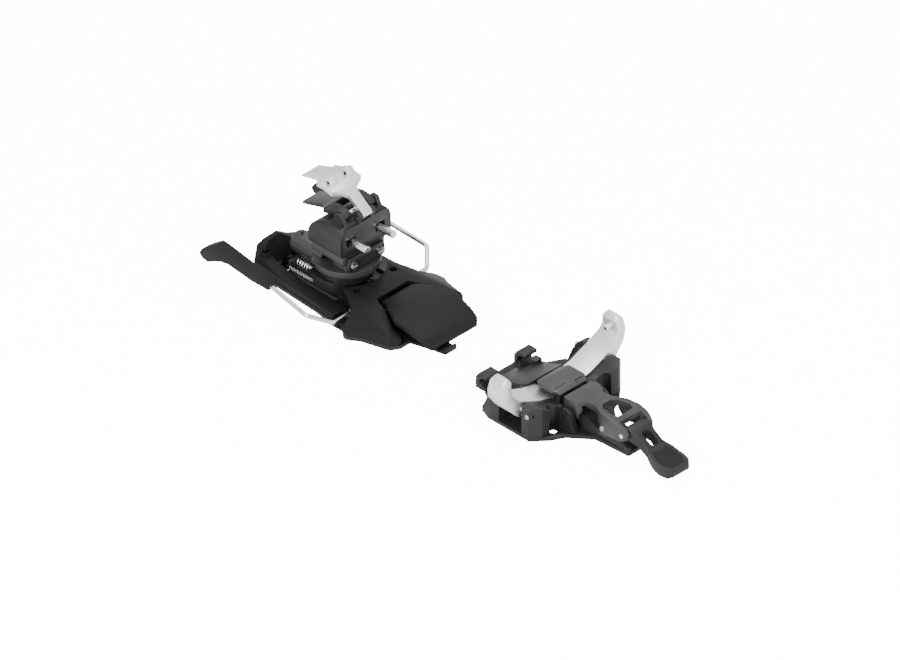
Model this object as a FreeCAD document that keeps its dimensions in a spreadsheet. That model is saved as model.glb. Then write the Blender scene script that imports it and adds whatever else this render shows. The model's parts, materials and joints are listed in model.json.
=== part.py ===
import FreeCAD, Part
import Sketcher
import math
import os

# Ski-touring binding: a heel unit and a toe unit on the same ski centreline.
# X runs forward to the ski tip, Y to the skier's left, Z up from the ski's top face.
# The origin is the centre of the heel unit's four-screw pattern, on the ski.

DIMS = {
    # heel unit: base and mounting screws
    "plate_thick": 3.0,
    "heel_hole_pitch_x": 66.0,
    "heel_hole_pitch_y": 36.0,
    "screw_hole_radius": 2.9,
    "screw_head_radius": 5.2,
    "deck_length": 71.0,
    "rail_height": 3.2,
    "rail_width": 2.5,
    "rail_length": 55.4,
    # heel unit: sliding carriage
    "carriage_height": 10.0,
    "barrel_radius": 8.4,
    "barrel_length": 32.0,
    "spindle_x": 5.0,
    "spindle_radius": 8.0,
    "ring_radius": 24.5,
    "ring_height": 5.0,
    "length_screw_radius": 2.0,
    # heel unit: turning tower and pins
    "tower_length": 32.0,
    "pin_radius": 2.85,
    "pin_length": 14.6,
    "pin_stem_radius": 2.6,
    "pin_stem_length": 14.4,
    "pin_pitch": 26.4,
    "pin_height": 52.0,
    # heel risers
    "low_axis_x": 15.5,
    "low_axis_z": 70.0,
    "high_axis_x": 23.5,
    "high_axis_z": 69.9,
    "riser_pin_radius": 1.6,
    "knuckle_radius": 3.8,
    "knuckle_screw_radius": 1.5,
    # brake
    "brake_axis_x": 38.0,
    "brake_axis_z": 6.2,
    "wire_radius": 1.75,
    "wire_bend": 5.0,
    "foot_thick": 7.0,
    "pedal_axis_x": 56.0,
    "pedal_axis_z": 9.0,
    # toe unit
    "toe_x": 213.0,
    "toe_hole_pitch_x": 53.0,
    "toe_hole_pitch_y": 51.0,
    "arm_pivot_y": 41.5,
    "arm_pivot_z": 21.0,
    "arm_pivot_radius": 2.0,
    "arm_length": 20.0,
    "toe_pin_radius": 2.4,
    "toe_pin_height": 41.4,
    "frame_axis_x": 240.0,
    "frame_axis_z": 15.0,
    "lever_axis_x": 291.0,
    "lever_axis_z": 19.0,
    "lever_pin_radius": 1.8,
    # clearances
    "running_gap": 0.05,
    "free_gap": 0.4,
}

doc = FreeCAD.newDocument("touring_binding")
sheet = doc.addObject("Spreadsheet::Sheet", "dims")
for row, (alias, value) in enumerate(DIMS.items(), start=1):
    sheet.set("A%d" % row, alias)
    sheet.set("B%d" % row, str(value))
    sheet.setAlias("B%d" % row, alias)
doc.recompute()

AXES = {
    "X": FreeCAD.Rotation(FreeCAD.Vector(0, 1, 0), 90),
    "Y": FreeCAD.Rotation(FreeCAD.Vector(1, 0, 0), -90),
    "Z": FreeCAD.Rotation(),
}
PLANES = {"XY": "XY_Plane", "XZ": "XZ_Plane", "YZ": "YZ_Plane"}
parts = []


def d(alias):
    """The value of a cell of the dimension sheet, in mm."""
    return float(sheet.get(alias))


def size(obj, prop, amount):
    """Bind a property to a cell formula when amount is text, else set the number."""
    if isinstance(amount, str):
        words = amount.split(" ")
        formula = " ".join("dims." + w if w in DIMS else w for w in words)
        obj.setExpression(prop, formula)
    else:
        setattr(obj, prop, amount)


def place(obj, x, y, z, axis="Z"):
    obj.Placement = FreeCAD.Placement(FreeCAD.Vector(x, y, z), AXES[axis])


def box(name, corner, length, width, height):
    obj = doc.addObject("Part::Box", name)
    size(obj, "Length", length)
    size(obj, "Width", width)
    size(obj, "Height", height)
    place(obj, *corner)
    return obj


def rod(name, base, axis, radius, length):
    """A cylinder that starts at base and runs along axis."""
    obj = doc.addObject("Part::Cylinder", name)
    size(obj, "Radius", radius)
    size(obj, "Height", length)
    place(obj, *base, axis=axis)
    return obj


def cone(name, base, axis, radius_start, radius_end, length):
    obj = doc.addObject("Part::Cone", name)
    size(obj, "Radius1", radius_start)
    size(obj, "Radius2", radius_end)
    size(obj, "Height", length)
    place(obj, *base, axis=axis)
    return obj


def origin_plane(body, plane):
    for feature in body.Origin.OriginFeatures:
        if feature.Role == PLANES[plane]:
            return feature
    raise ValueError(plane)


def prism(name, plane, outline, start, depth):
    """A body with one closed outline on an origin plane, padded from start along +axis."""
    body = doc.addObject("PartDesign::Body", name)
    sketch = body.newObject("Sketcher::SketchObject", name + "_outline")
    sketch.AttachmentSupport = [(origin_plane(body, plane), "")]
    sketch.MapMode = "FlatFace"
    corners = [FreeCAD.Vector(p[0], p[1], 0) for p in outline]
    for here, there in zip(corners, corners[1:] + corners[:1]):
        sketch.addGeometry(Part.LineSegment(here, there), False)
    count = len(corners)
    for index in range(count):
        sketch.addConstraint(
            Sketcher.Constraint("Coincident", index, 2, (index + 1) % count, 1))
    pad = body.newObject("PartDesign::Pad", name + "_pad")
    pad.Profile = sketch
    size(pad, "Length", depth)
    if plane == "XZ":
        pad.Reversed = True
    offset = {"XY": (0, 0, start), "XZ": (0, start, 0), "YZ": (start, 0, 0)}[plane]
    body.Placement = FreeCAD.Placement(FreeCAD.Vector(*offset), FreeCAD.Rotation())
    return body


def fuse(name, *items):
    obj = doc.addObject("Part::MultiFuse", name)
    obj.Shapes = list(items)
    obj.Refine = True
    return obj


def group(name, *items):
    """Separate solids that share one node."""
    obj = doc.addObject("Part::Compound", name)
    obj.Links = list(items)
    return obj


def cut(name, base, *tools):
    tool = tools[0] if len(tools) == 1 else group(name + "_tools", *tools)
    obj = doc.addObject("Part::Cut", name)
    obj.Base = base
    obj.Tool = tool
    obj.Refine = True
    return obj


def common(name, first, second):
    obj = doc.addObject("Part::Common", name)
    obj.Base = first
    obj.Tool = second
    obj.Refine = True
    return obj


def mirror(name, source):
    """The same piece on the other side of the ski's centre plane."""
    obj = doc.addObject("Part::Mirroring", name)
    obj.Source = source
    obj.Base = FreeCAD.Vector(0, 0, 0)
    obj.Normal = FreeCAD.Vector(0, 1, 0)
    return obj


def fillet(name, base, radius, wanted):
    """Round the edges of base whose midpoint passes the wanted test."""
    doc.recompute()
    chosen = []
    for index, edge in enumerate(base.Shape.Edges, start=1):
        middle = edge.valueAt((edge.FirstParameter + edge.LastParameter) / 2)
        if wanted(middle):
            chosen.append((index, radius, radius))
    obj = doc.addObject("Part::Fillet", name)
    obj.Base = base
    obj.Edges = chosen
    return obj


def bent_path(name, points, bend):
    """Straight runs joined by tangent arcs of one bend radius."""
    corners = [FreeCAD.Vector(*p) for p in points]
    edges = []
    start = corners[0]
    for before, corner, after in zip(corners, corners[1:], corners[2:]):
        into = (corner - before).normalize()
        out = (after - corner).normalize()
        turn = into.getAngle(out)
        setback = bend * math.tan(turn / 2)
        arc_start = corner - into * setback
        arc_end = corner + out * setback
        inward = (out - into).normalize()
        centre = corner + inward * (bend / math.cos(turn / 2))
        arc_middle = centre - inward * bend
        edges.append(Part.LineSegment(start, arc_start).toShape())
        edges.append(Part.Arc(arc_start, arc_middle, arc_end).toShape())
        start = arc_end
    edges.append(Part.LineSegment(start, corners[-1]).toShape())
    path = doc.addObject("Part::Feature", name)
    path.Shape = Part.Wire(edges)
    return path


def bent_wire(name, points, radius, bend):
    """A round wire swept along a bent path."""
    path = bent_path(name + "_path", points, bend)
    profile = doc.addObject("Part::Circle", name + "_profile")
    size(profile, "Radius", radius)
    first = FreeCAD.Vector(*points[1]) - FreeCAD.Vector(*points[0])
    turn = FreeCAD.Rotation(FreeCAD.Vector(0, 0, 1), first)
    profile.Placement = FreeCAD.Placement(FreeCAD.Vector(*points[0]), turn)
    sweep = doc.addObject("Part::Sweep", name)
    sweep.Sections = [profile]
    sweep.Spine = (path, ["Edge%d" % (i + 1) for i in range(len(path.Shape.Edges))])
    sweep.Solid = True
    sweep.Frenet = False
    return sweep


def coil(name, base, axis, radius, wire, length, turns):
    """A round-wire helical spring that starts at base and runs along axis."""
    helix = doc.addObject("Part::Helix", name + "_helix")
    helix.Radius = radius
    helix.Height = length
    helix.Pitch = length / turns
    profile = doc.addObject("Part::Circle", name + "_profile")
    profile.Radius = wire
    profile.Placement = FreeCAD.Placement(
        FreeCAD.Vector(radius, 0, 0), FreeCAD.Rotation(FreeCAD.Vector(1, 0, 0), 90))
    sweep = doc.addObject("Part::Sweep", name)
    sweep.Sections = [profile]
    sweep.Spine = (helix, ["Edge1"])
    sweep.Solid = True
    sweep.Frenet = True
    place(sweep, *base, axis=axis)
    return sweep


def keep(obj):
    """Name a finished sub-part, which is written to a file of that name."""
    parts.append(obj)
    return obj


def both_sides(points):
    """A closed outline from its half at negative Y, rear to front, and the mirrored half."""
    return list(points) + [(x, -y) for x, y in reversed(points)]


def across(points):
    """A closed section from its half at negative Y and the mirrored half, as (y, z)."""
    return list(points) + [(-y, z) for y, z in reversed(points)]


# ---------------------------------------------------------------- heel unit: base
hole_x = d("heel_hole_pitch_x") / 2
hole_y = d("heel_hole_pitch_y") / 2
plate_top = d("plate_thick")
heel_outline = both_sides([
    (-53, -24), (-50, -33), (-43, -37), (14, -40), (28, -42), (33, -43.5),
    (44, -43.5), (50, -48.5), (54, -48.5), (62, -43), (84, -36.5), (88, -30)])


def heel_holes(name, z, depth):
    """The four mounting-screw holes of the heel unit."""
    holes = []
    for x in (-hole_x, hole_x):
        for y in (-hole_y, hole_y):
            hole = "%s_%d" % (name, len(holes))
            holes.append(rod(hole, (x, y, z), "Z", "screw_hole_radius", depth))
    return holes


plate_blank = prism("heel_plate_blank", "XY", heel_outline, 0, "plate_thick")
axis_x = d("brake_axis_x")
axis_z = d("brake_axis_z")
wire_slots = [
    rod("plate_slot_%d" % i, (axis_x, y, axis_z), "Y", 6.0, 10.0) for i, y in enumerate((-50, 40))]
keep(cut("heel_base_plate", plate_blank, *(heel_holes("plate_hole", -1, 6) + wire_slots)))

rail_y = 23.0
keep(group(
    "guide_rails",
    box("rail_left", (-35.4, rail_y, plate_top), "rail_length", "rail_width", "rail_height"),
    box("rail_right", (-35.4, -rail_y - d("rail_width"), plate_top),
        "rail_length", "rail_width", "rail_height")))

# Rear cover: a wedge that is tall on the right and low on the left, with a long side wall
# and a recess for the rear mounting screw.
screw_y = 6.0
screw_z = 8.4
cover_section = [(-34, 3), (-33.5, 8), (-31, 20), (-25, 23.6), (-13.8, 24.4), (-1, 15.5),
                 (22, 6), (30, 5), (30, 3)]
cover_blank = prism("rear_cover_blank", "YZ", cover_section, -53, 17)
cover_trim = prism("rear_cover_trim", "XZ", [
    (-53.4, 2), (-53.4, 19), (-51, 25), (-48, 25), (-38.5, 9), (-35, 8), (-35, 2)], -40, 80)
cover_body = common("rear_cover_body", cover_blank, cover_trim)
side_wall_blank = prism("side_wall_blank", "XY", [
    (-50, -36.5), (14, -39.5), (28, -41.6), (32.5, -42.4), (32.5, -31), (24, -29), (-36, -27),
    (-50, -27)], 3, 13)
side_wall_trim = prism("side_wall_trim", "XZ", [
    (-51, 2), (-51, 13), (-46, 16), (-38, 12), (-30, 10.5), (0, 8), (28, 7.4), (33, 6), (33, 2)],
    -43, 20)
side_wall_slope = prism("side_wall_slope", "YZ", [
    (-43, 2), (-42, 5), (-34, 12.5), (-31, 16), (-26, 16), (-26, 2)], -52, 86)
side_wall = common("side_wall", common("side_wall_cut", side_wall_blank, side_wall_trim),
                   side_wall_slope)
cover_joined = fuse("rear_cover_joined", cover_body, side_wall)
keep(cut("rear_cover", cover_joined,
         rod("cover_screw_bore", (-54, screw_y, screw_z), "X", 1.55, 13),
         box("cover_collar_room", (-42.2, -11, 2), 8, 45, 24),
         rod("cover_pocket", (-hole_x, -hole_y, 2), "Z", 5.8, 30),
         box("cover_groove", (-47.5, -33.5, 16.6), 12, 6.5, 2.0)))

# Brake housing: the raised deck round the tower ring, with side wings that run forward
# beside the pedal, hollow below for the wires and the spring.
deck_section = across([
    (-49, 3), (-48.5, 5), (-44, 8), (-35, 13), (-28, 16.5), (-22, 17.5)])
deck_solid = prism("deck_solid", "YZ", deck_section, 17, "deck_length")
deck_plan = prism("deck_plan", "XY", both_sides([
    (17, -19), (27, -24), (36, -29), (44, -33), (47, -46), (50, -48.5), (54, -48.5), (62, -43),
    (84, -36.5), (87.5, -31)]), 2, 17)
deck_profile = prism("deck_profile", "XZ", [
    (16, 2), (16, 17.5), (61, 17.5), (70, 15), (82, 11.8), (88, 9.4), (88, 2)], -50, 100)
deck_blank = common("deck_blank", common("deck_trimmed", deck_solid, deck_plan), deck_profile)
deck_hollow = prism("deck_hollow", "YZ", across([
    (-33, 2), (-33, 8), (-26, 13.5), (-20, 14.5)]), 33, 32)
pedal_room = prism("pedal_room", "XY", both_sides([
    (50.2, -15.6), (56, -18.2), (62, -20.2), (79.6, -28.4), (90, -28.4)]), 2, 18)
deck_cuts = [
    deck_hollow,
    pedal_room,
    rod("deck_ring_room", (5, 0, 2.5), "Z", 28.5, 20),
    rod("deck_wire_bore_left", (axis_x, 20, axis_z), "Y", 2.3, 30),
    rod("deck_wire_bore_right", (axis_x, -50, axis_z), "Y", 2.3, 30),
    rod("deck_pin_bore", (d("pedal_axis_x"), -36, d("pedal_axis_z")), "Y", 1.5, 72)]
keep(cut("brake_housing", deck_blank, *(deck_cuts + heel_holes("deck_hole", 2, 20))))

# Brake lock: a flat tongue under the pedal that slides forward to hold the brake up.
tongue_blank = prism("tongue_blank", "XY", [
    (66, -20), (90, -24), (108, -18.5), (119, -16), (119, -5), (104, -5), (90, -8),
    (66, -8)], 3.4, 2.2)
tongue_lip = prism("tongue_lip", "XZ", [
    (115, 5.5), (119, 5.5), (119, 8.0), (117.6, 8.0)], -15.5, 10.5)
keep(fuse("brake_lock", tongue_blank, tongue_lip))

# ---------------------------------------------------------------- heel unit: carriage
gap = d("free_gap")
shoe_half = rail_y - gap
shoe_bottom = plate_top + gap
carriage_foot = prism("carriage_foot", "XY", both_sides([
    (-30, -shoe_half), (4, -shoe_half), (11, -20.5), (16, -15), (18.5, -8)]),
    shoe_bottom, "carriage_height")
carriage_tower = rod("carriage_tower", (d("spindle_x"), 0, 12), "Z", 19.5, 9.0)
carriage_block = fuse("carriage_block", carriage_foot, carriage_tower)
spring_y = -14.5
spring_z = 10.2
barrel_y = -9.0
barrel_z = 22.6
carriage_cuts = [
    box("spring_window", (-28.5, -24, 6.2), 20.5, 15, 12),
    rod("barrel_seat", (-40, barrel_y, barrel_z), "X", "barrel_radius + 0.05", 38),
    rod("screw_tunnel", (-40, screw_y, screw_z), "X", "length_screw_radius + 0.05", 70),
    rod("spindle_seat", (d("spindle_x"), 0, 11), "Z", "spindle_radius", 12)]
keep(cut("carriage", carriage_block, *carriage_cuts))

barrel_blank = rod("barrel_blank", (-36, barrel_y, barrel_z), "X", "barrel_radius", "barrel_length")
barrel_round = fillet("barrel_round", barrel_blank, 3.5,
                      lambda middle: middle.x < -35)
keep(cut("release_barrel", barrel_round,
         rod("barrel_bore", (-30, barrel_y, barrel_z), "X", 5.6, 26),
         rod("barrel_mouth", (-37, barrel_y, barrel_z), "X", 4.2, 8),
         rod("barrel_sight", (-30, barrel_y, barrel_z + 4), "Z", 1.3, 6)))
keep(cut("release_screw",
         rod("release_screw_blank", (-35.4, barrel_y, barrel_z), "X", 4.1, 7.0),
         box("release_screw_slot", (-36, barrel_y - 4.5, barrel_z - 0.6), 2.0, 9, 1.2)))
keep(coil("side_release_spring", (-27.6, barrel_y, barrel_z), "X", 4.2, 0.7, 17, 7))
keep(rod("release_plunger", (-9.2, barrel_y, barrel_z), "X", 5.5, 4.5))

keep(coil("elastic_spring", (-27.8, spring_y, spring_z), "X", 3.2, 0.55, 14.4, 6))
keep(box("spring_block", (-12.4, -21.5, 6.4), 3.9, 12, 7.4))
keep(box("scale_strip", (-29, -shoe_half - 0.35, 7.4), 23, 0.35, 2.4))
keep(rod("spindle", (d("spindle_x"), 0, 11), "Z", "spindle_radius", 30))
ring_outer = rod("ring_outer", (d("spindle_x"), 0, 21), "Z", "ring_radius", "ring_height")
keep(cut("tower_ring", ring_outer,
         rod("ring_bore", (d("spindle_x"), 0, 20), "Z", "spindle_radius", 8),
         rod("ring_barrel_room", (-22, barrel_y, barrel_z), "X", "barrel_radius + 0.05", 20)))
screw_shaft = rod("length_screw_shaft", (-39.2, screw_y, screw_z), "X", "length_screw_radius", 63)
screw_collar = rod("length_screw_collar", (-42.0, screw_y, screw_z), "X", 3.0, 2.8)
screw_tail = rod("length_screw_tail", (-53.6, screw_y, screw_z), "X", 1.5, 12)
keep(cut("length_screw", fuse("length_screw_blank", screw_shaft, screw_collar, screw_tail),
         box("length_screw_slot", (-54, screw_y - 2, screw_z - 0.3), 1.4, 4, 0.6)))

# ---------------------------------------------------------------- heel unit: turning tower
tower_rear = -8.0
tower_section = across([
    (-20, 41), (-24, 43), (-25, 47), (-25, 57), (-23.6, 61.5), (-20.5, 65), (-17, 66.5)])
tower_solid = prism("tower_solid", "YZ", tower_section, tower_rear, "tower_length")
tower_profile = prism("tower_profile", "XZ", [
    (-8, 40), (-8, 54), (-5.5, 59), (-1, 62.5), (5, 64.6), (11, 66.5), (21.5, 66.5), (24.2, 64),
    (24.2, 40)], -30, 60)
tower_lugs = []
low_x = d("low_axis_x")
low_z = d("low_axis_z")
high_x = d("high_axis_x")
high_z = d("high_axis_z")
for side in (-1, 1):
    outer = 18.8 if side > 0 else -15.4
    tower_lugs.append(prism("low_lug_%d" % (side + 1), "XZ", [
        (low_x - 7, 62), (low_x - 3, 73), (low_x + 2.4, 73.4), (low_x + 6, 66),
        (low_x + 6, 62)], outer - 3.4, 3.4))
    inner = 7.9 if side > 0 else -4.7
    tower_lugs.append(prism("high_lug_%d" % (side + 1), "XZ", [
        (high_x - 3.5, 62), (high_x - 3, 71), (high_x - 1, 72.6), (high_x + 1.4, 72.4),
        (high_x + 2.6, 70), (high_x, 63)], inner - 3.2, 3.2))
tower_joined = fuse("tower_joined", common("tower_trimmed", tower_solid, tower_profile),
                    *tower_lugs)
pin_half = d("pin_pitch") / 2
pin_z = d("pin_height")
slot_half = d("pin_radius") + 0.35
slot_width = 8.8
tower_cuts = [
    box("pin_slot_left", (12, pin_half - slot_half, pin_z - slot_half), 14, slot_width,
        2 * slot_half),
    box("pin_slot_right", (12, slot_half - pin_half - slot_width, pin_z - slot_half), 14,
        slot_width, 2 * slot_half),
    box("pin_room", (3.6, -20.5, 46.6), 12.4, 41, 10.8),
    rod("spring_room", (-5.6, 0, pin_z), "X", 6.6, 10),
    rod("release_screw_room", (-9, 0, pin_z), "X", 4.05, 4),
    rod("pivot_bore_left", (7.5, pin_half, 44.5), "Z", 1.5, 15),
    rod("pivot_bore_right", (7.5, -pin_half, 44.5), "Z", 1.5, 15),
    rod("low_pin_bore", (low_x, -20, low_z), "Y", "riser_pin_radius", 40),
    rod("high_pin_bore", (high_x, -9, high_z), "Y", "riser_pin_radius", 18)]
keep(cut("tower_shell", tower_joined, *tower_cuts))

neck_high = prism("neck_high", "YZ", across([
    (-19, 32), (-20.5, 34), (-20.5, 39), (-18, 41)]), -9, 31)
neck_low = prism("neck_low", "XY", both_sides([(8, -16.5), (22, -16.5)]), 26.4, 5.7)
keep(cut("tower_neck", fuse("neck_blank", neck_high, neck_low),
         rod("neck_bore", (d("spindle_x"), 0, 26), "Z", "spindle_radius + running_gap", 16)))
clamp_blank = prism("clamp_blank", "YZ", across([
    (-12, 26.5), (-17.2, 28), (-18, 31), (-17, 38.5)]), 22, 3.4)
clamp_screw_z = 32.2
screw_half = 13.3
keep(cut("front_clamp", clamp_blank, *[
    rod("clamp_bore_%d" % i, (21, y, clamp_screw_z), "X", 1.7, 6)
    for i, y in enumerate((-screw_half, screw_half))]))
clamp_screws = []
for index, y in enumerate((-screw_half, screw_half)):
    head = rod("clamp_head_%d" % index, (25.4, y, clamp_screw_z), "X", 2.9, 1.5)
    shank = rod("clamp_shank_%d" % index, (22, y, clamp_screw_z), "X", 1.7, 3.4)
    clamp_screws.append(cut(
        "clamp_screw_%d" % index, fuse("clamp_screw_blank_%d" % index, head, shank),
        box("clamp_slot_%d" % index, (26.3, y - 3, clamp_screw_z - 0.4), 1, 6, 0.8)))
keep(group("clamp_screws", *clamp_screws))

for name, y in (("left", pin_half), ("right", -pin_half)):
    block = box("pin_block_blank_" + name, (4.4, y - 3.6, pin_z - 4.6), 10.6, 7.2, 9.2)
    pin_start = 10.0
    keep(cut("pin_block_" + name, block,
             rod("pin_seat_" + name, (pin_start, y, pin_z), "X", "pin_stem_radius", 8),
             rod("pivot_seat_" + name, (7.5, y, pin_z - 6), "Z", 1.55, 12)))
    stem = rod("heel_pin_stem_" + name, (pin_start, y, pin_z), "X", "pin_stem_radius",
               "pin_stem_length")
    pin = fuse("heel_pin_blank_" + name, stem,
               rod("heel_pin_end_" + name, (pin_start + d("pin_stem_length"), y, pin_z), "X",
                   "pin_radius", "pin_length"))
    keep(fillet("heel_pin_" + name, pin, 0.6, lambda middle: middle.x > 38))
keep(group("pin_pivots",
           rod("pin_pivot_left", (7.5, pin_half, 44.5), "Z", 1.5, 15),
           rod("pin_pivot_right", (7.5, -pin_half, 44.5), "Z", 1.5, 15)))
keep(coil("pin_release_spring", (-4.6, 0, pin_z), "X", 5.2, 0.75, 6.2, 3))
keep(prism("pin_cam", "XY", [
    (3.9, -6.5), (9, -6.5), (13, -2.5), (13, 2.5), (9, 6.5), (3.9, 6.5)], pin_z - 4, 8))
keep(cut("pin_release_screw",
         rod("pin_screw_blank", (-8.6, 0, pin_z), "X", 4.0, 3.0),
         box("pin_screw_slot", (-9, -4.5, pin_z - 0.6), 1.6, 9, 1.2)))

# ---------------------------------------------------------------- heel unit: risers
low_side = prism("low_riser_side", "XZ", [
    (-30, 55.4), (-30.3, 57.6), (-3, 68.6), (1, 72.6), (8, 74.2), (15, 73.4), (18, 72.0),
    (18.9, 70), (18, 67.7), (15.5, 66.9), (11, 67.2), (4, 66.2), (-3, 64.6)], -16, 32)
low_plan = prism("low_riser_plan", "XY", both_sides([
    (-31, -8.5), (-9, -9.5), (-3, -15), (20, -15)]), 54, 22)
keep(cut("low_riser", common("low_riser_blank", low_side, low_plan),
         box("low_riser_notch", (2.5, -8.7, 60), 20, 17.4, 20),
         rod("low_riser_bore", (low_x, -20, low_z), "Y",
             "riser_pin_radius + running_gap", 40)))
keep(rod("low_riser_pin", (low_x, -18.6, low_z), "Y", "riser_pin_radius", 37.2))

high_side = prism("high_riser_side", "XZ", [
    (-31, 78.3), (-31, 79.6), (-14, 86.0), (-6, 87.2), (3, 86.3), (9, 84.2), (16, 78.6),
    (25.4, 71.8), (26.1, 69.9), (25.3, 68.0), (23.5, 67.3), (21.5, 68.2), (20.4, 71.0),
    (13, 76.4), (6, 81.2), (-4, 83.4), (-14, 83.0)], -16, 32)
high_plan = prism("high_riser_plan", "XY", both_sides([
    (-32, -8.5), (-15, -9), (-10, -14.5), (5, -14.5), (7.5, -8), (11, -4.3), (27, -4.3)]),
    60, 30)

# Two knuckles stand on the flap, each with a rib that runs back from it.
knuckle_x = -2.0
knuckle_z = 88.4
knuckle_y = 8.3
knuckle_width = 6.2
knuckles = []
for index, y in enumerate((-knuckle_y, knuckle_y)):
    knuckles.append(rod("knuckle_%d" % index, (knuckle_x, y - knuckle_width / 2, knuckle_z), "Y",
                        "knuckle_radius", knuckle_width))
    knuckles.append(prism("knuckle_rib_%d" % index, "XZ", [
        (-17, 83), (-15.5, 87.0), (-9, 88.8), (knuckle_x, 91.2), (knuckle_x, 84)], y - 1.4, 2.8))
high_joined = fuse("high_riser_joined", common("high_riser_blank", high_side, high_plan),
                   *knuckles)
keep(cut("high_riser", high_joined,
         rod("high_riser_bore", (high_x, -9, high_z), "Y", "riser_pin_radius + running_gap", 18),
         rod("knuckle_bore", (knuckle_x, -12, knuckle_z), "Y", "knuckle_screw_radius", 24)))
keep(rod("high_riser_pin", (high_x, -7.9, high_z), "Y", "riser_pin_radius", 15.8))
keep(group("riser_screws",
           rod("riser_screw_right", (knuckle_x, -knuckle_y - 2.9, knuckle_z), "Y",
               "knuckle_screw_radius", 5.8),
           rod("riser_screw_left", (knuckle_x, knuckle_y - 2.9, knuckle_z), "Y",
               "knuckle_screw_radius", 5.8)))

# ---------------------------------------------------------------- heel unit: brake
wire_route = [
    (axis_x, -0.6, axis_z), (axis_x, -46.5, axis_z), (24.8, -59.9, 12.5),
    (-13.3, -56.5, 17.0), (-33, -54.8, 18.6)]
wire_right = bent_wire("brake_wire_right", wire_route, "wire_radius", d("wire_bend"))
keep(wire_right)
keep(mirror("brake_wire_left", wire_right))
foot_blank = prism("foot_blank", "XZ", [
    (-11.8, 20.2), (-13.6, 14.2), (-31, 14.0), (-53.4, 16.6), (-60, 15.4), (-66, 12.8),
    (-74, 8.6), (-79.5, 9.8), (-82, 13.0), (-79, 17.6), (-72, 23.4), (-64.5, 28.6), (-59, 28.2),
    (-29, 23.4)], -59, "foot_thick")
foot_right = cut("brake_foot_right", foot_blank,
                 bent_wire("foot_socket", wire_route, "wire_radius", d("wire_bend")))
keep(foot_right)
keep(mirror("brake_foot_left", foot_right))
hub_blank = fuse("hub_blank", rod("hub_barrel", (axis_x, -12, axis_z), "Y", 2.9, 24),
                 box("hub_crank", (axis_x, -3.5, axis_z - 1.6), 6.8, 7, 3.2))
keep(cut("brake_hub", hub_blank,
         rod("hub_bore_right", (axis_x, -12, axis_z), "Y", "wire_radius", 11.4),
         rod("hub_bore_left", (axis_x, 0.6, axis_z), "Y", "wire_radius", 11.4)))
# The springs sit outside the mounting screws.
keep(group("brake_springs",
           coil("brake_coil_right", (axis_x, -29.4, axis_z), "Y", 2.5, 0.35, 8, 8),
           coil("brake_coil_left", (axis_x, 21.4, axis_z), "Y", 2.5, 0.35, 8, 8)))

pedal_x = d("pedal_axis_x")
pedal_z = d("pedal_axis_z")
pedal_side = prism("pedal_side", "XZ", [
    (pedal_x - 3.2, 7.4), (pedal_x - 3.4, 11), (54, 16.4), (58, 18.8), (70, 20.3), (86, 19.2),
    (105, 14.8), (111, 12.2), (113.6, 9.0), (113.2, 7.0), (111.6, 7.0), (104, 10.8),
    (86, 15.4), (62, 15.4), (59.6, 7.4), (57.5, 5.8), (54.5, 5.8)], -28, 56)
pedal_plan = prism("pedal_plan", "XY", both_sides([
    (50, -13.4), (58, -15.6), (80, -27.4), (86, -27.4), (102, -25.8), (110.5, -24),
    (113.8, -20.5)]), 4, 18)
pedal_bore = rod("pedal_bore", (pedal_x, -30, pedal_z), "Y", 1.55, 60)
keep(cut("brake_pedal", common("pedal_blank", pedal_side, pedal_plan), pedal_bore))
keep(rod("pedal_pin", (pedal_x, -36, pedal_z), "Y", 1.5, 72))

# ---------------------------------------------------------------- toe unit: base
toe = d("toe_x")
arm_y = d("arm_pivot_y")
arm_z = d("arm_pivot_z")
toe_rear_hole = toe - 31
toe_front_hole = toe_rear_hole + d("toe_hole_pitch_x")
toe_hole_y = d("toe_hole_pitch_y") / 2
toe_plate = prism("toe_plate", "XY", both_sides([
    (167.5, -26), (174, -29), (180, -41), (190, -45.5), (231, -45.5), (241, -34), (246, -24),
    (262, -11), (293, -9)]), 0, "plate_thick")

# Each side has a web ahead of the arm, which hides the arm's spring, and a fin behind it;
# the arm's pivot pin runs through both.
web_side = [(-45.5, 3), (-45.5, 25.6), (-44, 27.4), (-40, 27.4), (-33, 23.2), (-24, 20.2),
            (-15.6, 18.8), (-15.6, 3)]
web_plan = [(223.6, -15.6), (223.6, -45.5), (231, -45.5), (236.5, -38), (236.5, -15.6)]
fin_side = [(184, 3), (186.5, 10), (190, 18), (194.5, 25), (199, 28.6), (201.2, 28.6), (201.2, 3)]
rim_side = [(-40, 3), (-40, 24), (-36, 20.5), (-29, 17.5), (-16, 17.5), (-16, 3)]
pillars = []
for side, sign in (("right", 1), ("left", -1)):
    pillars.append(common(
        "web_" + side,
        prism("web_side_" + side, "YZ", [(sign * y, z) for y, z in web_side], 223.6, 13),
        prism("web_plan_" + side, "XY", [(x, sign * y) for x, y in web_plan], 2, 28)))
    pillars.append(prism("fin_" + side, "XZ", fin_side, -45.5 if sign > 0 else 38.5, 7.0))
    pillars.append(prism("rim_" + side, "YZ", [(sign * y, z) for y, z in rim_side], 196.6, 4.6))
    pillars.append(box("heel_stop_" + side, (173, -19.5 if sign > 0 else 13.5, 3), 6, 6, 10.5))
rear_deck = common(
    "rear_deck",
    prism("rear_deck_side", "XZ", [
        (167.8, 3), (168.6, 7.5), (180, 12), (194, 17), (201.2, 20.5), (201.2, 3)], -18, 36),
    prism("rear_deck_plan", "XY", both_sides([(167.8, -11.6), (172, -11.6), (181, -17.4),
                                              (201.2, -17.4)]), 2, 22))
centre_post = box("centre_post", (204, -8, 3), 20, 16, 19)
frame_x = d("frame_axis_x")
frame_z = d("frame_axis_z")
frame_lugs = []
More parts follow.
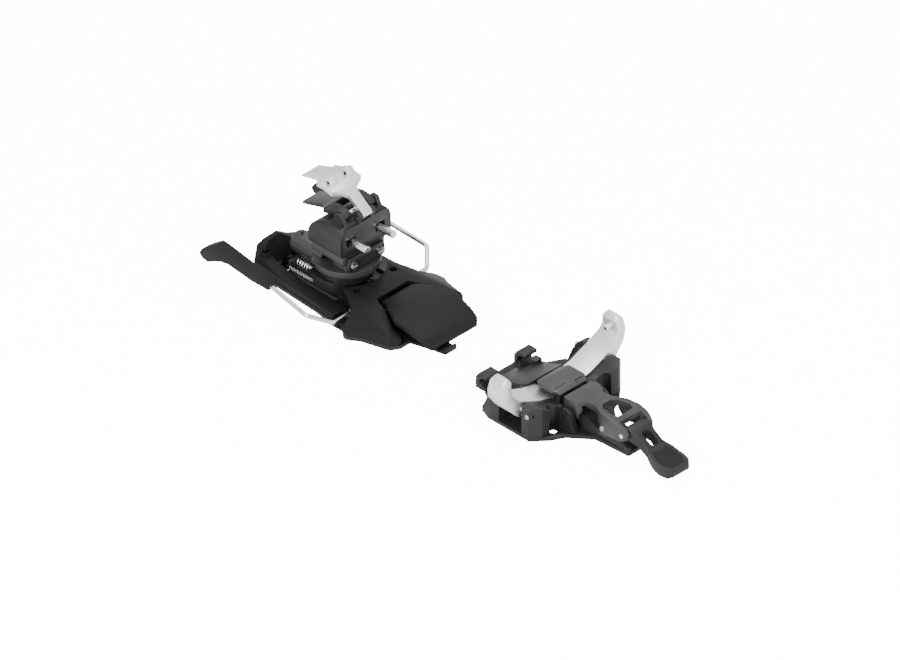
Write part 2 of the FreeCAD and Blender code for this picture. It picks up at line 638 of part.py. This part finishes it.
for side, low_edge in (("right", -19.4), ("left", 15.2)):
    frame_lugs.append(prism("frame_lug_" + side, "XZ", [
        (frame_x - 9, 3), (frame_x - 5, 17), (frame_x - 2, 19), (frame_x + 2, 19),
        (frame_x + 5, 17), (frame_x + 10, 3)], low_edge, 4.2))
nose_walls = prism("nose_walls", "XZ", [
    (226, 3), (226, 12.6), (254, 12.6), (262, 9), (293, 7), (293, 3)], -9, 18)
toe_blank = fuse("toe_blank", toe_plate, rear_deck, centre_post, nose_walls,
                 *(pillars + frame_lugs))
toe_cuts = [
    box("nose_channel", (227, -7, 3), 32, 14, 6.8),
    box("nose_front_channel", (263, -6.5, 3), 31, 13, 8),
    rod("frame_pin_bore", (frame_x, -20, frame_z), "Y", 1.8, 40),
    box("crampon_slot_right", (165.5, -23, -1), 3.2, 7.6, 6),
    box("crampon_slot_left", (165.5, 15.4, -1), 3.2, 7.6, 6)]
toe_hole_places = [(x, y) for x in (toe_rear_hole, toe_front_hole)
                   for y in (-toe_hole_y, toe_hole_y)]
for index, (x, y) in enumerate(toe_hole_places):
    toe_cuts.append(rod("toe_hole_%d" % index, (x, y, -1), "Z", "screw_hole_radius", 6))
    toe_cuts.append(rod("toe_head_%d" % index, (x, y, 1.6), "Z", "screw_head_radius", 30))
for index, y in enumerate((-arm_y, arm_y)):
    toe_cuts.append(rod("arm_bore_%d" % index, (190, y, arm_z), "X", "arm_pivot_radius", 43))
keep(cut("toe_base", toe_blank, *toe_cuts))

hooks = []
for index, low_edge in enumerate((-25.5, 12.5)):
    hooks.append(prism("hook_%d" % index, "XZ", [
        (157.5, 0.4), (157.5, 9.5), (160.5, 13.6), (168, 13.6), (169, 10.8), (163.5, 10.2),
        (162.1, 8.6), (162.1, 5.6), (165.5, 3.2), (167.5, 3.2), (167.5, 0.4)], low_edge, 13))
bridge = box("hook_bridge", (157.5, -12.5, 0.4), 7, 25, 2.8)
keep(fuse("crampon_bracket", bridge, *hooks))

cover_side = prism("cover_side", "XZ", [
    (205, 22), (205.4, 23.6), (211, 25.6), (226, 25.8), (230, 24.4), (230, 22)], -18, 36)
cover_plan = prism("cover_plan", "XY", both_sides([
    (205, -11.5), (209.5, -15.4), (225, -15.4), (230, -13)]), 21, 6)
keep(common("toe_cover", cover_side, cover_plan))

# ---------------------------------------------------------------- toe unit: arms
arm_start = 201.8
arm_outline = [
    (-10.5, 15.4), (-10.5, 18.2), (-24, 20.6), (-38, 26.6), (-46, 30.6), (-51, 35.5),
    (-52.6, 41), (-51.6, 48), (-53.6, 51.6), (-56.6, 51.8), (-59.4, 48.6), (-60.6, 40),
    (-57.4, 31), (-50, 20.5), (-46.6, 17.2), (-43, 16.4), (-38, 17.0), (-30, 17.4)]
arm_blank = prism("arm_blank", "YZ", arm_outline, arm_start, "arm_length")
arm_plan = prism("arm_plan", "XZ", [
    (201.8, 14), (201.8, 30), (205, 40), (206.5, 49), (208.5, 52), (217.5, 52), (219.8, 48),
    (221.8, 34), (221.8, 14)], -62, 60)
arm_body = cut("toe_arm_right", common("arm_trimmed", arm_blank, arm_plan),
               rod("arm_pin_bore", (200, -arm_y, arm_z), "X",
                   "arm_pivot_radius + running_gap", 24),
               rod("arm_carbide_seat", (toe, -62, d("toe_pin_height")), "Y",
                   "toe_pin_radius", 16))
keep(arm_body)
keep(mirror("toe_arm_left", arm_body))
pin_tip = cone("toe_pin_cone", (toe, -50.4, d("toe_pin_height")), "Y", "toe_pin_radius", 1.4, 2.4)
pin_shank = rod("toe_pin_shank", (toe, -60.0, d("toe_pin_height")), "Y", "toe_pin_radius", 9.6)
toe_pin = fuse("toe_pin_right", pin_shank, pin_tip)
keep(toe_pin)
keep(mirror("toe_pin_left", toe_pin))
keep(group("arm_pivot_pins", *[
    rod("arm_pivot_%d" % i, (191.0, y, arm_z), "X", "arm_pivot_radius", 41.2)
    for i, y in enumerate((-arm_y, arm_y))]))
keep(group("toe_springs", *[
    coil("toe_coil_%d" % i, (229.5, y, 6.4), "X", 2.3, 0.45, 27, 10)
    for i, y in enumerate((-3.4, 3.4))]))

# ---------------------------------------------------------------- toe unit: lever
lever_x = d("lever_axis_x")
lever_z = d("lever_axis_z")
frame_side = prism("frame_side", "XZ", [
    (233.5, 12), (233.5, 24.2), (250, 25.4), (262, 27.2), (280, 28), (291, 25.0), (295.6, 21),
    (295.6, 17), (291, 14.2), (282, 13), (270, 10.5), (258, 10), (246, 10.4), (240, 10.6)],
    -15, 30)
frame_plan = prism("frame_plan", "XY", both_sides([
    (233, -13.2), (238, -14.6), (245, -12.8), (250, -9.0), (259, -8.6), (264, -10.4), (270, -13.2),
    (282, -14.4), (288, -14.6), (296, -12.8)]), 8, 24)
frame_window = prism("frame_window", "XY", both_sides([
    (262.5, -4), (266, -7.4), (276, -9), (281, -7.5)]), 5, 30)
frame_arch = prism("frame_arch", "XZ", [
    (246.5, 8), (246.5, 14), (250, 18.5), (256, 20.6), (262, 19), (267, 14), (268, 8)], -16, 32)
frame_holes = [
    frame_arch,
    box("frame_inside", (232, -10.2, 5), 70, 20.4, 17),
    box("frame_fork", (285.4, -10.2, 5), 20, 20.4, 30),
    rod("frame_rear_bore", (frame_x, -20, frame_z), "Y", 1.85, 40),
    rod("frame_front_bore", (lever_x, -20, lever_z), "Y", "lever_pin_radius", 40)]
keep(cut("lever_frame", common("frame_blank", frame_side, frame_plan),
         frame_window, *frame_holes))
keep(rod("frame_pin", (frame_x, -19.4, frame_z), "Y", 1.8, 38.8))
keep(rod("lever_pin", (lever_x, -14.4, lever_z), "Y", "lever_pin_radius", 28.8))

lever_side = prism("lever_side", "XZ", [
    (286.8, 17), (287.2, 21), (290, 23.4), (295, 23.6), (302, 20.4), (314, 13.6), (324, 10.2),
    (334, 8.8), (337, 6.8), (336.6, 3.4), (333, 1.6), (322, 2.2), (311, 5.6), (302, 11.4),
    (296, 14.8), (290, 14.8)], -14, 28)
lever_plan = prism("lever_plan", "XY", both_sides([
    (286, -9.8), (297, -9.8), (302, -7.6), (310, -7.4), (317, -10.6), (326, -12), (333, -11),
    (337.4, -7.0)]), 0, 28)
lever_slot = prism("lever_slot", "XY", both_sides([
    (299.5, -2.2), (301.5, -3.6), (309, -3.4), (311.5, -1.8)]), 0, 30)
pad_recess_plan = prism("pad_recess_plan", "XY", both_sides([
    (315.5, -6.5), (320, -8.6), (328, -9.2), (333.4, -5.6)]), 0, 30)
pad_recess_side = prism("pad_recess_side", "XZ", [
    (312, 13.2), (312, 20), (336, 20), (336, 7.2), (333, 7.6), (324, 9.0), (318, 10.9)],
    -14, 28)
pad_recess = common("pad_recess", pad_recess_plan, pad_recess_side)
keep(cut("lock_lever", common("lever_blank", lever_side, lever_plan), lever_slot, pad_recess,
         rod("lever_bore", (lever_x, -12, lever_z), "Y", "lever_pin_radius + running_gap", 24)))
pad_plan = prism("pad_plan", "XY", both_sides([
    (315.7, -6.4), (320, -8.4), (328, -9.0), (333.2, -5.5)]), 0, 30)
pad_side = prism("pad_side", "XZ", [
    (312, 13.2), (312, 15.4), (318, 12.2), (324, 10.3), (333, 8.9), (336, 8.4), (336, 7.2),
    (333, 7.6), (324, 9.0), (318, 10.9)], -14, 28)
keep(common("lever_pad", pad_plan, pad_side))

# ---------------------------------------------------------------- checks and files
doc.recompute()
failed = [o.Label for o in doc.Objects if "Invalid" in o.State or "Error" in o.State]
if failed:
    raise RuntimeError("failed objects: " + ", ".join(failed))
os.makedirs("parts", exist_ok=True)
for part in parts:
    if part.Shape.isNull() or not part.Shape.isValid():
        raise RuntimeError("bad shape: " + part.Label)
    part.Shape.exportStep("parts/%s.step" % part.Label)
    print("%-22s %2d solids %10.1f mm3" % (part.Label, len(part.Shape.Solids), part.Shape.Volume))
print(len(parts), "parts")
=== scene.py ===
import json
import math

import bmesh
import bpy
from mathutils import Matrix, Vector
from mathutils.bvhtree import BVHTree


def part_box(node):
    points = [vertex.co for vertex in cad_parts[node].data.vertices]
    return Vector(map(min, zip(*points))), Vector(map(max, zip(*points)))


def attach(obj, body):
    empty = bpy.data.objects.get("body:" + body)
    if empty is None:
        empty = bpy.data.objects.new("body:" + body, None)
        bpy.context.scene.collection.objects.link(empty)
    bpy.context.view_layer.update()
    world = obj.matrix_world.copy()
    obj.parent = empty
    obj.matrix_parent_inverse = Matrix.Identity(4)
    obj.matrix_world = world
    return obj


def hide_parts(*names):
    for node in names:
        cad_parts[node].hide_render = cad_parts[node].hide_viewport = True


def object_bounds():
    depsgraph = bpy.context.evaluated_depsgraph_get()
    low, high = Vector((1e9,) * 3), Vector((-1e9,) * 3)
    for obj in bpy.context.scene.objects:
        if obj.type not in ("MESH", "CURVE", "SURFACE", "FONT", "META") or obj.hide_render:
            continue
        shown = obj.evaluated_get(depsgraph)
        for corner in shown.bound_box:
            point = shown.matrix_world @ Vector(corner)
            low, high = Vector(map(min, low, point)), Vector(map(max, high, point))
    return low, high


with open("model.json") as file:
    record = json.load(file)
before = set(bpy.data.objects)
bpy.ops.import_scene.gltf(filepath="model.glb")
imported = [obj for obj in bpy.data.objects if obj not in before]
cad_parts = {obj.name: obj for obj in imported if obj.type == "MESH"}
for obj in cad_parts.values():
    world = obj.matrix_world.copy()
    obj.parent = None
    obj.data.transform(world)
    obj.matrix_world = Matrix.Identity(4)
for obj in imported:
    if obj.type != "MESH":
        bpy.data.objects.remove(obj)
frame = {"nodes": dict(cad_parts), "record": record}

CAD_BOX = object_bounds()
MM = 0.001
NODES = frame["nodes"]
BODY_OF = {node: body for body, nodes in frame["record"]["behaviour"]["bodies"].items()
           for node in nodes}
SLOT_OF = {part["node"]: part["material_slot"] for part in frame["record"]["subparts"]}


# ------------------------------------------------------------------ materials
UNIFORM = (1.0, 1.0, 1.0)
STREAK_STRETCH = 0.03
TICK_PITCH = 1.5 * MM
TICK_WIDTH = 0.5 * MM


def new_material(name, colour, roughness, metallic=0.0, specular=0.5):
    """A plain material, with its nodes, its links and its shader."""
    material = bpy.data.materials.new(name)
    material.use_nodes = True
    shader = material.node_tree.nodes["Principled BSDF"]
    shader.inputs["Base Color"].default_value = (*colour, 1.0)
    shader.inputs["Roughness"].default_value = roughness
    shader.inputs["Metallic"].default_value = metallic
    shader.inputs["Specular IOR Level"].default_value = specular
    return material, material.node_tree.nodes, material.node_tree.links, shader


def object_coords(nodes, links, scale):
    """Object coordinates in metres, stretched by scale along X, Y and Z."""
    coords = nodes.new("ShaderNodeTexCoord")
    mapping = nodes.new("ShaderNodeMapping")
    mapping.inputs["Scale"].default_value = scale
    links.new(coords.outputs["Object"], mapping.inputs["Vector"])
    return mapping.outputs["Vector"]


def noise(nodes, links, vector, scale, detail=3.0, rough=0.6):
    """A cloudy value from 0 to 1; scale is in cells to the metre."""
    texture = nodes.new("ShaderNodeTexNoise")
    texture.inputs["Scale"].default_value = scale
    texture.inputs["Detail"].default_value = detail
    texture.inputs["Roughness"].default_value = rough
    links.new(vector, texture.inputs["Vector"])
    return texture.outputs["Fac"]


def span(nodes, links, value, low, high, into_low=0.3, into_high=0.7):
    """Stretch a value from the range into_low to into_high onto low to high."""
    remap = nodes.new("ShaderNodeMapRange")
    remap.inputs["From Min"].default_value = into_low
    remap.inputs["From Max"].default_value = into_high
    remap.inputs["To Min"].default_value = low
    remap.inputs["To Max"].default_value = high
    links.new(value, remap.inputs["Value"])
    return remap.outputs["Result"]


def mix_colour(nodes, links, factor, first, second):
    """The first colour where factor is 0, the second where it is 1."""
    mix = nodes.new("ShaderNodeMix")
    mix.data_type = "RGBA"
    mix.inputs["A"].default_value = (*first, 1.0)
    mix.inputs["B"].default_value = (*second, 1.0)
    links.new(factor, mix.inputs["Factor"])
    return mix.outputs["Result"]


def bump(nodes, links, shader, height, strength, distance):
    """Roughen the shader's surface by a height value; distance is in metres."""
    node = nodes.new("ShaderNodeBump")
    node.inputs["Strength"].default_value = strength
    node.inputs["Distance"].default_value = distance
    links.new(height, node.inputs["Height"])
    links.new(node.outputs["Normal"], shader.inputs["Normal"])


def worn_edges(nodes, links, low, high):
    """Bright where the surface turns a sharp corner."""
    geometry = nodes.new("ShaderNodeNewGeometry")
    return span(nodes, links, geometry.outputs["Pointiness"], 0.0, 1.0, low, high)


def larger(nodes, links, first, second):
    """The larger of two values."""
    node = nodes.new("ShaderNodeMath")
    node.operation = "MAXIMUM"
    links.new(first, node.inputs[0])
    links.new(second, node.inputs[1])
    return node.outputs["Value"]


def polymer(name, dark, light, roughness):
    """Glass-filled nylon with a fine spark-eroded grain, a little paler where it is rubbed."""
    material, nodes, links, shader = new_material(name, dark, roughness, specular=0.21)
    vector = object_coords(nodes, links, UNIFORM)
    cloud = noise(nodes, links, vector, 55.0)
    grain = noise(nodes, links, vector, 1900.0, 2.0)
    paler = larger(nodes, links, span(nodes, links, cloud, 0.0, 0.45),
                   worn_edges(nodes, links, 0.52, 0.62))
    links.new(mix_colour(nodes, links, paler, dark, light), shader.inputs["Base Color"])
    links.new(span(nodes, links, cloud, roughness - 0.07, roughness + 0.08),
              shader.inputs["Roughness"])
    bump(nodes, links, shader, grain, 0.35, 0.00012)
    return material


def anodised(name, dark, light, roughness):
    """Bead-blasted, anodised aluminium: a fine matt bloom and slightly polished edges."""
    material, nodes, links, shader = new_material(name, dark, roughness, metallic=0.55)
    vector = object_coords(nodes, links, UNIFORM)
    cloud = noise(nodes, links, vector, 40.0)
    blast = noise(nodes, links, vector, 2600.0, 2.0)
    paler = larger(nodes, links, span(nodes, links, cloud, 0.0, 0.35),
                   worn_edges(nodes, links, 0.515, 0.58))
    links.new(mix_colour(nodes, links, paler, dark, light), shader.inputs["Base Color"])
    links.new(span(nodes, links, cloud, roughness - 0.06, roughness + 0.06),
              shader.inputs["Roughness"])
    bump(nodes, links, shader, blast, 0.25, 0.00008)
    return material


def metal(name, dark, light, roughness, along, streaks=900.0):
    """Bare metal with fine machining or drawing lines that run along one axis."""
    material, nodes, links, shader = new_material(name, light, roughness, metallic=1.0)
    stretch = list(UNIFORM)
    stretch["XYZ".index(along)] = STREAK_STRETCH
    vector = object_coords(nodes, links, stretch)
    lines = noise(nodes, links, vector, streaks, 3.0)
    cloud = noise(nodes, links, object_coords(nodes, links, UNIFORM), 70.0)
    links.new(mix_colour(nodes, links, span(nodes, links, cloud, 0.0, 1.0), dark, light),
              shader.inputs["Base Color"])
    links.new(span(nodes, links, lines, roughness - 0.08, roughness + 0.1),
              shader.inputs["Roughness"])
    bump(nodes, links, shader, lines, 0.18, 0.00005)
    return material


def rubber(name, dark, light):
    """Soft moulded rubber with a fine matt grain."""
    material, nodes, links, shader = new_material(name, dark, 0.7, specular=0.3)
    vector = object_coords(nodes, links, UNIFORM)
    cloud = noise(nodes, links, vector, 90.0)
    links.new(mix_colour(nodes, links, span(nodes, links, cloud, 0.0, 1.0), dark, light),
              shader.inputs["Base Color"])
    grain = noise(nodes, links, vector, 1500.0, 2.0)
    bump(nodes, links, shader, grain, 0.5, 0.0002)
    return material


def scale_print(name, dark, light):
    """A dark strip printed with short pale ticks along X."""
    material, nodes, links, shader = new_material(name, dark, 0.5)
    coords = nodes.new("ShaderNodeTexCoord")
    split = nodes.new("ShaderNodeSeparateXYZ")
    links.new(coords.outputs["Object"], split.inputs["Vector"])
    repeat = nodes.new("ShaderNodeMath")
    repeat.operation = "WRAP"
    repeat.inputs[1].default_value = TICK_PITCH
    repeat.inputs[2].default_value = 0.0
    links.new(split.outputs["X"], repeat.inputs[0])
    tick = nodes.new("ShaderNodeMath")
    tick.operation = "LESS_THAN"
    tick.inputs[1].default_value = TICK_WIDTH
    links.new(repeat.outputs["Value"], tick.inputs[0])
    links.new(mix_colour(nodes, links, tick.outputs["Value"], dark, light),
              shader.inputs["Base Color"])
    return material


MATERIALS = {
    "black_polymer": polymer("black_polymer", (0.0036, 0.0036, 0.0038), (0.0085, 0.0085, 0.0088),
                             0.50),
    "black_anodised": anodised("black_anodised", (0.016, 0.016, 0.0165), (0.042, 0.042, 0.0435),
                               0.42),
    "grey_anodised": anodised("grey_anodised", (0.042, 0.042, 0.043), (0.090, 0.090, 0.092), 0.42),
    "silver_aluminium": metal("silver_aluminium", (0.82, 0.825, 0.83), (0.95, 0.95, 0.955), 0.40,
                              "X", 1400.0),
    "bright_steel": metal("bright_steel", (0.78, 0.78, 0.79), (0.93, 0.93, 0.93), 0.20, "X"),
    "spring_steel": metal("spring_steel", (0.38, 0.38, 0.39), (0.58, 0.58, 0.59), 0.30, "X"),
    "grip_pad": rubber("grip_pad", (0.003, 0.003, 0.0032), (0.006, 0.006, 0.0062)),
    "scale_marks": scale_print("scale_marks", (0.012, 0.012, 0.012), (0.75, 0.75, 0.75)),
}


# ------------------------------------------------------------------ mesh helpers
# A node's facets are welded and flat ones joined, then its sharp edges are rounded.
WELD = 0.002 * MM
FLAT_DEGREES = 0.8
SHARP_DEGREES = 32.0
SMOOTH_DEGREES = 34.0
EDGE_SEGMENTS = 3


def finish_piece(piece, body, slot, node=None):
    """Give a new piece its material and its body and, where it stands for a CAD node, hide that node.
    """
    piece.data.materials.clear()
    piece.data.materials.append(MATERIALS[slot])
    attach(piece, body)
    if node:
        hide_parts(node)
    return piece


def new_piece(name, mesh):
    """An object in the scene for a mesh."""
    piece = bpy.data.objects.new(name, mesh)
    bpy.context.scene.collection.objects.link(piece)
    return piece


def bake_modifiers(piece):
    """Apply a piece's modifiers to its mesh."""
    graph = bpy.context.evaluated_depsgraph_get()
    mesh = bpy.data.meshes.new_from_object(piece.evaluated_get(graph))
    old = piece.data
    piece.modifiers.clear()
    piece.data = mesh
    bpy.data.meshes.remove(old)


def smooth_by_angle(mesh, degrees):
    """Shade a mesh smooth, but for edges that turn more than an angle."""
    for polygon in mesh.polygons:
        polygon.use_smooth = True
    build = bmesh.new()
    build.from_mesh(mesh)
    limit = math.radians(degrees)
    for edge in build.edges:
        edge.smooth = len(edge.link_faces) == 2 and edge.calc_face_angle(0.0) < limit
    build.to_mesh(mesh)
    build.free()


def dress(node, width):
    """A copy of a CAD node with its sharp edges rounded, which stands for the node."""
    mesh = NODES[node].data.copy()
    build = bmesh.new()
    build.from_mesh(mesh)
    bmesh.ops.remove_doubles(build, verts=build.verts, dist=WELD)
    bmesh.ops.dissolve_limit(build, angle_limit=math.radians(FLAT_DEGREES), verts=build.verts,
                             edges=build.edges, delimit=set())
    build.to_mesh(mesh)
    build.free()
    piece = new_piece("look_" + node, mesh)
    bevel = piece.modifiers.new("edge", "BEVEL")
    bevel.width = width
    bevel.segments = EDGE_SEGMENTS
    bevel.limit_method = "ANGLE"
    bevel.angle_limit = math.radians(SHARP_DEGREES)
    bevel.use_clamp_overlap = True
    bake_modifiers(piece)
    smooth_by_angle(piece.data, SMOOTH_DEGREES)
    return finish_piece(piece, BODY_OF[node], SLOT_OF[node], node)


# ------------------------------------------------------------------ rounded edges, and the plain nodes
# The radius in mm that a node's sharp CAD edges are rounded by.
EDGE_RADII = {
    2.2: ["toe_arm_left", "toe_arm_right"],
    1.6: ["brake_foot_left", "brake_foot_right", "tower_shell", "brake_pedal", "rear_cover",
          "brake_housing"],
    1.2: ["lock_lever", "lever_frame", "high_riser", "toe_base"],
    0.9: ["low_riser", "toe_cover", "crampon_bracket", "tower_neck"],
    0.5: ["heel_base_plate", "carriage", "release_barrel", "tower_ring", "spring_block",
          "guide_rails", "lever_pad", "front_clamp", "brake_lock"],
}
for edge_radius, names in EDGE_RADII.items():
    for node_name in names:
        dress(node_name, edge_radius * MM)
REPLACED = {name for names in EDGE_RADII.values() for name in names}
for node_name, node_object in NODES.items():
    if node_name not in REPLACED:
        for index in range(len(node_object.material_slots)):
            node_object.material_slots[index].material = MATERIALS[SLOT_OF[node_name]]


# ------------------------------------------------------------------ small surface details
NEAR_SURFACE = 30 * MM
INSET = 0.98
HEAD_SIDES = 24
HEAD_ROOT = 0.6 * MM
HEAD_SMOOTH_DEGREES = 40.0


def surface_tree(node):
    """A CAD node's surface, ready to be searched along a ray."""
    mesh = NODES[node].data
    return BVHTree.FromPolygons([tuple(vertex.co) for vertex in mesh.vertices],
                                [tuple(polygon.vertices) for polygon in mesh.polygons])


def hit(tree, point, direction):
    """The first place on the surface from a point, along a direction."""
    place = tree.ray_cast(Vector(point), Vector(direction))[0]
    if place is None:
        raise ValueError("no surface ahead of %s" % (tuple(point),))
    return place


def close_mesh(name, build, rows):
    """A closed mesh through rows of points, each row a ring, with a face at each end."""
    for near, far in zip(rows, rows[1:]):
        for i in range(len(near)):
            ahead = (i + 1) % len(near)
            build.faces.new((near[i], near[ahead], far[ahead], far[i]))
    build.faces.new(rows[0][::-1])
    build.faces.new(rows[-1])
    bmesh.ops.recalc_face_normals(build, faces=build.faces)
    mesh = bpy.data.meshes.new(name)
    build.to_mesh(mesh)
    build.free()
    return mesh


def ribbon(name, node, slot, corners, direction, width, rise=0.1 * MM, step=0.8 * MM):
    """A thin band laid on a node's surface along corners that are seen against direction."""
    tree = surface_tree(node)
    direction = Vector(direction).normalized()
    line = []
    for first, second in zip(corners, corners[1:]):
        first, second = Vector(first), Vector(second)
        count = max(1, int((second - first).length / step))
        line += [first.lerp(second, i / count) for i in range(count)]
    line.append(Vector(corners[-1]))
    build = bmesh.new()
    rows = []
    for index, point in enumerate(line):
        ahead = line[min(index + 1, len(line) - 1)] - line[max(index - 1, 0)]
        side = ahead.cross(direction).normalized() * (width / 2)
        row = []
        for offset, lift in ((side, rise), (-side, rise), (-side, -3 * rise), (side, -3 * rise)):
            place = hit(tree, point + offset * INSET - direction * NEAR_SURFACE, direction)
            row.append(build.verts.new(place - direction * lift))
        rows.append(row)
    mesh = close_mesh(name, build, rows)
    return finish_piece(new_piece(name, mesh), BODY_OF[node], slot)


def bolt_head(name, node, slot, place, direction, radius, height, socket=0.0,
              reach=NEAR_SURFACE):
    """A domed head on the surface met along direction, with a round socket if socket is given."""
    tree = surface_tree(node)
    out = -Vector(direction).normalized()
    seat = hit(tree, Vector(place) + out * reach, -out)
    turn = out.to_track_quat("Z", "Y").to_matrix().to_4x4()
    rings = [(radius, -HEAD_ROOT), (radius, height * 0.45), (radius * 0.82, height)]
    if socket:
        rings += [(socket, height), (socket, height * 0.3)]
    else:
        rings += [(radius * 0.45, height * 1.12)]
    build = bmesh.new()
    angles = [2 * math.pi * i / HEAD_SIDES for i in range(HEAD_SIDES)]
    rows = [[build.verts.new((ring_radius * math.cos(angle), ring_radius * math.sin(angle), z))
             for angle in angles] for ring_radius, z in rings]
    mesh = close_mesh(name, build, rows)
    mesh.transform(turn)
    for vertex in mesh.vertices:
        vertex.co += seat
    smooth_by_angle(mesh, HEAD_SMOOTH_DEGREES)
    return finish_piece(new_piece(name, mesh), BODY_OF[node], slot)


def middle(node):
    """The centre of a CAD node's box."""
    low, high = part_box(node)
    return (low + high) / 2


DOWN = (0, 0, -1)
TOP = CAD_BOX[1][2]
SIDE = CAD_BOX[1][1]


def add_cover_seams():
    """The two joint lines in the toe unit's centre cover; the far one has a step."""
    low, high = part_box("toe_cover")
    near_x = high.x - 5.6 * MM
    ribbon("seam_near", "toe_cover", "grip_pad",
           [(near_x, low.y + 1.4 * MM, TOP), (near_x, -2.8 * MM, TOP)], DOWN, 0.7 * MM)
    ribbon("seam_far", "toe_cover", "grip_pad",
           [(high.x - 3.4 * MM, high.y - 3.6 * MM, TOP), (high.x - 3.6 * MM, 4.8 * MM, TOP),
            (high.x - 1.2 * MM, 4.4 * MM, TOP)], DOWN, 0.7 * MM)


def add_tower_inlay():
    """A plain dark strip on the tower's right shoulder."""
    low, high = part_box("tower_shell")
    strip_y = low.y + 5 * MM
    ribbon("tower_inlay", "tower_shell", "grip_pad",
           [(high.x - 22.6 * MM, strip_y, TOP), (high.x - 6.1 * MM, strip_y, TOP)],
           DOWN, 3.0 * MM, 0.15 * MM)


def add_toe_bolts():
    """A socket-head bolt on each side of the lever frame and of the toe base's web."""
    lever_pin = middle("lever_pin")
    cover_low, cover_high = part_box("toe_cover")
    for side_name, sign in (("right", -1), ("left", 1)):
        inward = (0, -sign, 0)
        bolt_head("frame_bolt_" + side_name, "lever_frame", "spring_steel",
                  (lever_pin.x - 19.5 * MM, sign * SIDE, lever_pin.z - 3.5 * MM), inward,
                  2.1 * MM, 0.9 * MM, socket=1.0 * MM)
        bolt_head("web_bolt_" + side_name, "toe_base", "spring_steel",
                  (cover_high.x - 1 * MM, sign * SIDE, cover_low.z - 2 * MM), inward,
                  1.9 * MM, 0.7 * MM, socket=0.9 * MM)


def add_riser_socket_shade():
    """Painted shade: a dark dot on three ends of the high riser's two screws, standing for the shade
    inside their sockets; the middle one faces right.
    """
    low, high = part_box("riser_screws")
    centre = middle("riser_screws")
    for side_name, start_y, sign in (("right", low.y, 1), ("middle", 0.0, 1), ("left", high.y, -1)):
        # Each dot is a flat black disc, which paints the shade of a socket recess.
        bolt_head("riser_socket_shade_" + side_name, "riser_screws", "grip_pad",
                  (centre.x, start_y, centre.z), (0, sign, 0), 1.4 * MM, 0.2 * MM,
                  reach=0.5 * MM)


def add_barrel_hole_shade():
    """Painted shade: a small dark dot on top of the release barrel, near its rear end, standing for
    the shade in the barrel's small hole.
    """
    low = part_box("release_barrel")[0]
    centre = middle("release_barrel")
    # A flat black dot, which paints the shade of the small hole.
    bolt_head("barrel_hole_shade_dot", "release_barrel", "grip_pad",
              (low.x + 7.5 * MM, centre.y - 1.5 * MM, TOP), DOWN, 1.0 * MM, 0.2 * MM)


add_cover_seams()
add_tower_inlay()
add_toe_bolts()
add_riser_socket_shade()
add_barrel_hole_shade()


# ------------------------------------------------------------------ floor, light and camera
FLOOR_HALF = 6.0
FLOOR_GAP = 0.5 * MM
FLOOR_GLOW = 14.0


def make_floor():
    """A plain floor that shows white. It glows for camera rays only, so the glow lights nothing."""
    mesh = bpy.data.meshes.new("floor")
    build = bmesh.new()
    bmesh.ops.create_grid(build, x_segments=1, y_segments=1, size=FLOOR_HALF)
    build.to_mesh(mesh)
    build.free()
    floor = new_piece("floor", mesh)
    floor.location.z = CAD_BOX[0][2] - FLOOR_GAP
    material, nodes, links, shader = new_material("floor_white", (0.8, 0.8, 0.8), 0.9,
                                                  specular=0.0)
    shader.inputs["Emission Color"].default_value = (1, 1, 1, 1)
    seen = nodes.new("ShaderNodeLightPath")
    glow = nodes.new("ShaderNodeMath")
    glow.operation = "MULTIPLY"
    glow.inputs[1].default_value = FLOOR_GLOW
    links.new(seen.outputs["Is Camera Ray"], glow.inputs[0])
    links.new(glow.outputs["Value"], shader.inputs["Emission Strength"])
    floor.data.materials.append(material)


def make_area_light(name, place, target, size, power):
    """A round soft light, with its diameter in metres and its power in watts."""
    light = bpy.data.lights.new(name, "AREA")
    light.shape = "DISK"
    light.size = size
    light.energy = power
    lamp = bpy.data.objects.new(name, light)
    bpy.context.scene.collection.objects.link(lamp)
    lamp.location = place
    lamp.rotation_euler = (Vector(target) - Vector(place)).to_track_quat("-Z", "Y").to_euler()


VIEW_WIDTH = 0.63
VIEW_DISTANCE = 2.0
VIEW_SHIFT = Vector((-31.5, 11.4, 0.0)) * MM


def make_camera():
    """A straight isometric view, from ahead and to the right of the binding."""
    camera = bpy.data.cameras.new("camera")
    camera.type = "ORTHO"
    camera.ortho_scale = VIEW_WIDTH
    camera.clip_end = 20.0
    holder = bpy.data.objects.new("camera", camera)
    bpy.context.scene.collection.objects.link(holder)
    back = Vector((1, -1, 1)).normalized()
    low, high = (Vector(corner) for corner in CAD_BOX)
    target = Vector(((low.x + high.x) / 2, (low.y + high.y) / 2, low.z)) + VIEW_SHIFT
    holder.location = target + back * VIEW_DISTANCE
    holder.rotation_euler = (-back).to_track_quat("-Z", "Y").to_euler()
    bpy.context.scene.camera = holder


WORLD_STRENGTH = 1.2


def make_world():
    """Even white light from all round."""
    world = bpy.data.worlds.new("studio")
    world.use_nodes = True
    background = world.node_tree.nodes["Background"]
    background.inputs["Color"].default_value = (1, 1, 1, 1)
    background.inputs["Strength"].default_value = WORLD_STRENGTH
    bpy.context.scene.world = world


make_floor()
make_world()
make_camera()
HEEL_SIDE = (0.1, 0, 0.03)
TOE_SIDE = (0.15, 0, 0.03)
make_area_light("key", (0.5, -1.1, 0.8), HEEL_SIDE, 0.8, 20.0)
make_area_light("top", (-0.2, 0.3, 1.4), HEEL_SIDE, 1.0, 6.0)
make_area_light("front", (1.2, 0.2, 0.5), TOE_SIDE, 0.6, 6.0)
